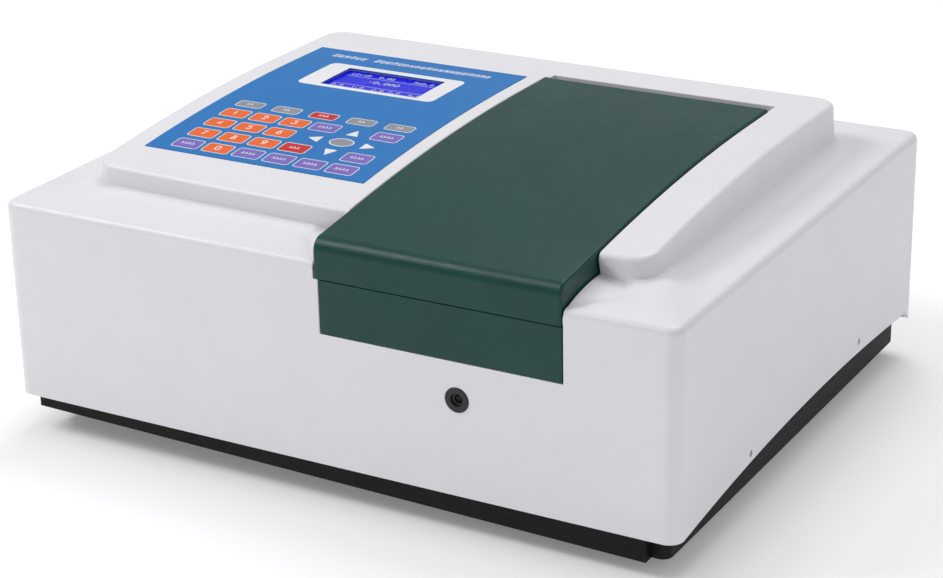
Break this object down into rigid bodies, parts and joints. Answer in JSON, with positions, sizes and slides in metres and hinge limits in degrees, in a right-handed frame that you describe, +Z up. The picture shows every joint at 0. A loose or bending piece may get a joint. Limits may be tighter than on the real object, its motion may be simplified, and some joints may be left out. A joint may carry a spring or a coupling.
{
  "type": "spectrophotometer",
  "caption": "Bench spectrophotometer with a flip-up sample lid, a sliding cell changer, a membrane keypad and a display.",
  "frame": {"origin": "middle of the footprint, on the plane that the feet stand on", "axes": "+X to the right seen from the front, +Y from the front face to the back, +Z up"},
  "size_m": [0.46, 0.3726, 0.1871],
  "materials": {
    "cover_white": "fine moulded texture, semi-matte",
    "lid_green": "dark green grained plastic",
    "base_black": "black powder coat on sheet steel",
    "overlay_blue": "printed polyester membrane, satin",
    "key_orange": "printed membrane key",
    "key_purple": "printed membrane key",
    "key_red": "printed membrane key",
    "key_grey": "printed membrane key",
    "key_white": "printed membrane key",
    "window_clear": "clear acrylic",
    "lcd_blue": "blue backlit graphic display",
    "black_plastic": "black moulded plastic",
    "chamber_black": "matt black paint against stray light",
    "casting": "as cast",
    "steel": "plain steel",
    "anodised_black": "black anodised",
    "mirror": "front-surface mirror",
    "lamp_glass": "lamp bulb glass",
    "board_green": "glass-epoxy circuit board",
    "rubber": "moulded rubber"
  },
  "bodies": {
    "chassis": {"base_tray": "base_black", "main_cover": "cover_white", "keypad_overlay": "overlay_blue", "display_window": "window_clear", "lcd_module": "lcd_blue", "front_panel": "lid_green", "rod_bush": "black_plastic", "sample_chamber": "chamber_black", "hinge_pin": "steel", "monochromator_base": "casting", "monochromator_cover": "steel", "collimating_mirror": "mirror", "lamp_house": "anodised_black", "deuterium_lamp": "lamp_glass", "tungsten_lamp": "lamp_glass", "detector_housing": "anodised_black", "main_board": "board_green", "power_supply": "steel", "fan_frame": "black_plastic", "power_inlet": "black_plastic", "foot_front_left": "rubber", "foot_front_right": "rubber", "foot_rear_left": "rubber", "foot_rear_right": "rubber"},
    "lid": {"lid": "lid_green"},
    "carriage": {"cell_carriage": "anodised_black", "pull_rod": "steel"},
    "rocker": {"power_switch": "black_plastic"},
    "fan": {"fan_rotor": "black_plastic"},
    "grating": {"grating_turntable": "anodised_black"},
    "filters": {"filter_wheel": "anodised_black"},
    "selector": {"lamp_mirror": "mirror"},
    "key_f1_body": {"key_f1": "key_grey"},
    "key_f2_body": {"key_f2": "key_grey"},
    "key_zero_body": {"key_zero": "key_red"},
    "key_f3_body": {"key_f3": "key_grey"},
    "key_f4_body": {"key_f4": "key_grey"},
    "key_clear_body": {"key_clear": "key_purple"},
    "key_0_body": {"key_0": "key_orange"},
    "key_mode_body": {"key_mode": "key_purple"},
    "key_start_body": {"key_start": "key_purple"},
    "key_print_body": {"key_print": "key_purple"},
    "key_enter_body": {"key_enter": "key_purple"},
    "key_7_body": {"key_7": "key_orange"},
    "key_8_body": {"key_8": "key_orange"},
    "key_9_body": {"key_9": "key_orange"},
    "key_set_body": {"key_set": "key_red"},
    "key_goto_body": {"key_goto": "key_purple"},
    "key_4_body": {"key_4": "key_orange"},
    "key_5_body": {"key_5": "key_orange"},
    "key_6_body": {"key_6": "key_orange"},
    "key_1_body": {"key_1": "key_orange"},
    "key_2_body": {"key_2": "key_orange"},
    "key_3_body": {"key_3": "key_orange"},
    "key_load_body": {"key_load": "key_purple"},
    "key_save_body": {"key_save": "key_purple"},
    "key_up_body": {"key_up": "key_white"},
    "key_down_body": {"key_down": "key_white"},
    "key_left_body": {"key_left": "key_white"},
    "key_right_body": {"key_right": "key_white"}
  },
  "joints": [
    {"name": "lid_hinge", "type": "hinge", "parent": "chassis", "child": "lid", "pos_m": [0.0788, 0.09025, 0.1795], "axis": [-1, 0, 0], "range_deg": [0, 105]},
    {"name": "carriage_slide", "type": "slide", "parent": "chassis", "child": "carriage", "axis": [0, -1, 0], "range_m": [0, 0.048]},
    {"name": "rocker_tilt", "type": "hinge", "parent": "chassis", "child": "rocker", "pos_m": [0.15, 0.17625, 0.0865], "axis": [1, 0, 0], "range_deg": [0, 16]},
    {"name": "fan_spin", "type": "hinge", "parent": "chassis", "child": "fan", "pos_m": [-0.13, 0.16525, 0.0705], "axis": [0, 1, 0], "continuous": true},
    {"name": "grating_turn", "type": "hinge", "parent": "chassis", "child": "grating", "pos_m": [-0.07, -0.02575, 0.0855], "axis": [0, 0, 1], "range_deg": [-35, 35]},
    {"name": "filter_turn", "type": "hinge", "parent": "chassis", "child": "filters", "pos_m": [-0.116, 0.01375, 0.1035], "axis": [0, 1, 0], "continuous": true},
    {"name": "selector_turn", "type": "hinge", "parent": "chassis", "child": "selector", "pos_m": [-0.13, 0.06425, 0.0655], "axis": [0, 0, 1], "range_deg": [-45, 45]},
    {"name": "key_f1_press", "type": "slide", "parent": "chassis", "child": "key_f1_body", "axis": [0, 0.0617, -0.9981], "range_m": [0, 0.0004], "stiffness_N_per_m": 1500},
    {"name": "key_f2_press", "type": "slide", "parent": "chassis", "child": "key_f2_body", "axis": [0, 0.0617, -0.9981], "range_m": [0, 0.0004], "stiffness_N_per_m": 1500},
    {"name": "key_zero_press", "type": "slide", "parent": "chassis", "child": "key_zero_body", "axis": [0, 0.0617, -0.9981], "range_m": [0, 0.0004], "stiffness_N_per_m": 1500},
    {"name": "key_f3_press", "type": "slide", "parent": "chassis", "child": "key_f3_body", "axis": [0, 0.0617, -0.9981], "range_m": [0, 0.0004], "stiffness_N_per_m": 1500},
    {"name": "key_f4_press", "type": "slide", "parent": "chassis", "child": "key_f4_body", "axis": [0, 0.0617, -0.9981], "range_m": [0, 0.0004], "stiffness_N_per_m": 1500},
    {"name": "key_clear_press", "type": "slide", "parent": "chassis", "child": "key_clear_body", "axis": [0, 0.1068, -0.9943], "range_m": [0, 0.0004], "stiffness_N_per_m": 1500},
    {"name": "key_0_press", "type": "slide", "parent": "chassis", "child": "key_0_body", "axis": [0, 0.1068, -0.9943], "range_m": [0, 0.0004], "stiffness_N_per_m": 1500},
    {"name": "key_mode_press", "type": "slide", "parent": "chassis", "child": "key_mode_body", "axis": [0, 0.1068, -0.9943], "range_m": [0, 0.0004], "stiffness_N_per_m": 1500},
    {"name": "key_start_press", "type": "slide", "parent": "chassis", "child": "key_start_body", "axis": [0, 0.1068, -0.9943], "range_m": [0, 0.0004], "stiffness_N_per_m": 1500},
    {"name": "key_print_press", "type": "slide", "parent": "chassis", "child": "key_print_body", "axis": [0, 0.1068, -0.9943], "range_m": [0, 0.0004], "stiffness_N_per_m": 1500},
    {"name": "key_enter_press", "type": "slide", "parent": "chassis", "child": "key_enter_body", "axis": [0, 0.1068, -0.9943], "range_m": [0, 0.0004], "stiffness_N_per_m": 1500},
    {"name": "key_7_press", "type": "slide", "parent": "chassis", "child": "key_7_body", "axis": [0, 0.0954, -0.9954], "range_m": [0, 0.0004], "stiffness_N_per_m": 1500},
    {"name": "key_8_press", "type": "slide", "parent": "chassis", "child": "key_8_body", "axis": [0, 0.0954, -0.9954], "range_m": [0, 0.0004], "stiffness_N_per_m": 1500},
    {"name": "key_9_press", "type": "slide", "parent": "chassis", "child": "key_9_body", "axis": [0, 0.0954, -0.9954], "range_m": [0, 0.0004], "stiffness_N_per_m": 1500},
    {"name": "key_set_press", "type": "slide", "parent": "chassis", "child": "key_set_body", "axis": [0, 0.0954, -0.9954], "range_m": [0, 0.0004], "stiffness_N_per_m": 1500},
    {"name": "key_goto_press", "type": "slide", "parent": "chassis", "child": "key_goto_body", "axis": [0, 0.0954, -0.9954], "range_m": [0, 0.0004], "stiffness_N_per_m": 1500},
    {"name": "key_4_press", "type": "slide", "parent": "chassis", "child": "key_4_body", "axis": [0, 0.084, -0.9965], "range_m": [0, 0.0004], "stiffness_N_per_m": 1500},
    {"name": "key_5_press", "type": "slide", "parent": "chassis", "child": "key_5_body", "axis": [0, 0.084, -0.9965], "range_m": [0, 0.0004], "stiffness_N_per_m": 1500},
    {"name": "key_6_press", "type": "slide", "parent": "chassis", "child": "key_6_body", "axis": [0, 0.084, -0.9965], "range_m": [0, 0.0004], "stiffness_N_per_m": 1500},
    {"name": "key_1_press", "type": "slide", "parent": "chassis", "child": "key_1_body", "axis": [0, 0.0726, -0.9974], "range_m": [0, 0.0004], "stiffness_N_per_m": 1500},
    {"name": "key_2_press", "type": "slide", "parent": "chassis", "child": "key_2_body", "axis": [0, 0.0726, -0.9974], "range_m": [0, 0.0004], "stiffness_N_per_m": 1500},
    {"name": "key_3_press", "type": "slide", "parent": "chassis", "child": "key_3_body", "axis": [0, 0.0726, -0.9974], "range_m": [0, 0.0004], "stiffness_N_per_m": 1500},
    {"name": "key_load_press", "type": "slide", "parent": "chassis", "child": "key_load_body", "axis": [0, 0.0726, -0.9974], "range_m": [0, 0.0004], "stiffness_N_per_m": 1500},
    {"name": "key_save_press", "type": "slide", "parent": "chassis", "child": "key_save_body", "axis": [0, 0.0726, -0.9974], "range_m": [0, 0.0004], "stiffness_N_per_m": 1500},
    {"name": "key_up_press", "type": "slide", "parent": "chassis", "child": "key_up_body", "axis": [0, 0.0735, -0.9973], "range_m": [0, 0.0004], "stiffness_N_per_m": 1500},
    {"name": "key_down_press", "type": "slide", "parent": "chassis", "child": "key_down_body", "axis": [0, 0.0943, -0.9955], "range_m": [0, 0.0004], "stiffness_N_per_m": 1500},
    {"name": "key_left_press", "type": "slide", "parent": "chassis", "child": "key_left_body", "axis": [0, 0.0839, -0.9965], "range_m": [0, 0.0004], "stiffness_N_per_m": 1500},
    {"name": "key_right_press", "type": "slide", "parent": "chassis", "child": "key_right_body", "axis": [0, 0.0839, -0.9965], "range_m": [0, 0.0004], "stiffness_N_per_m": 1500}
  ]
}
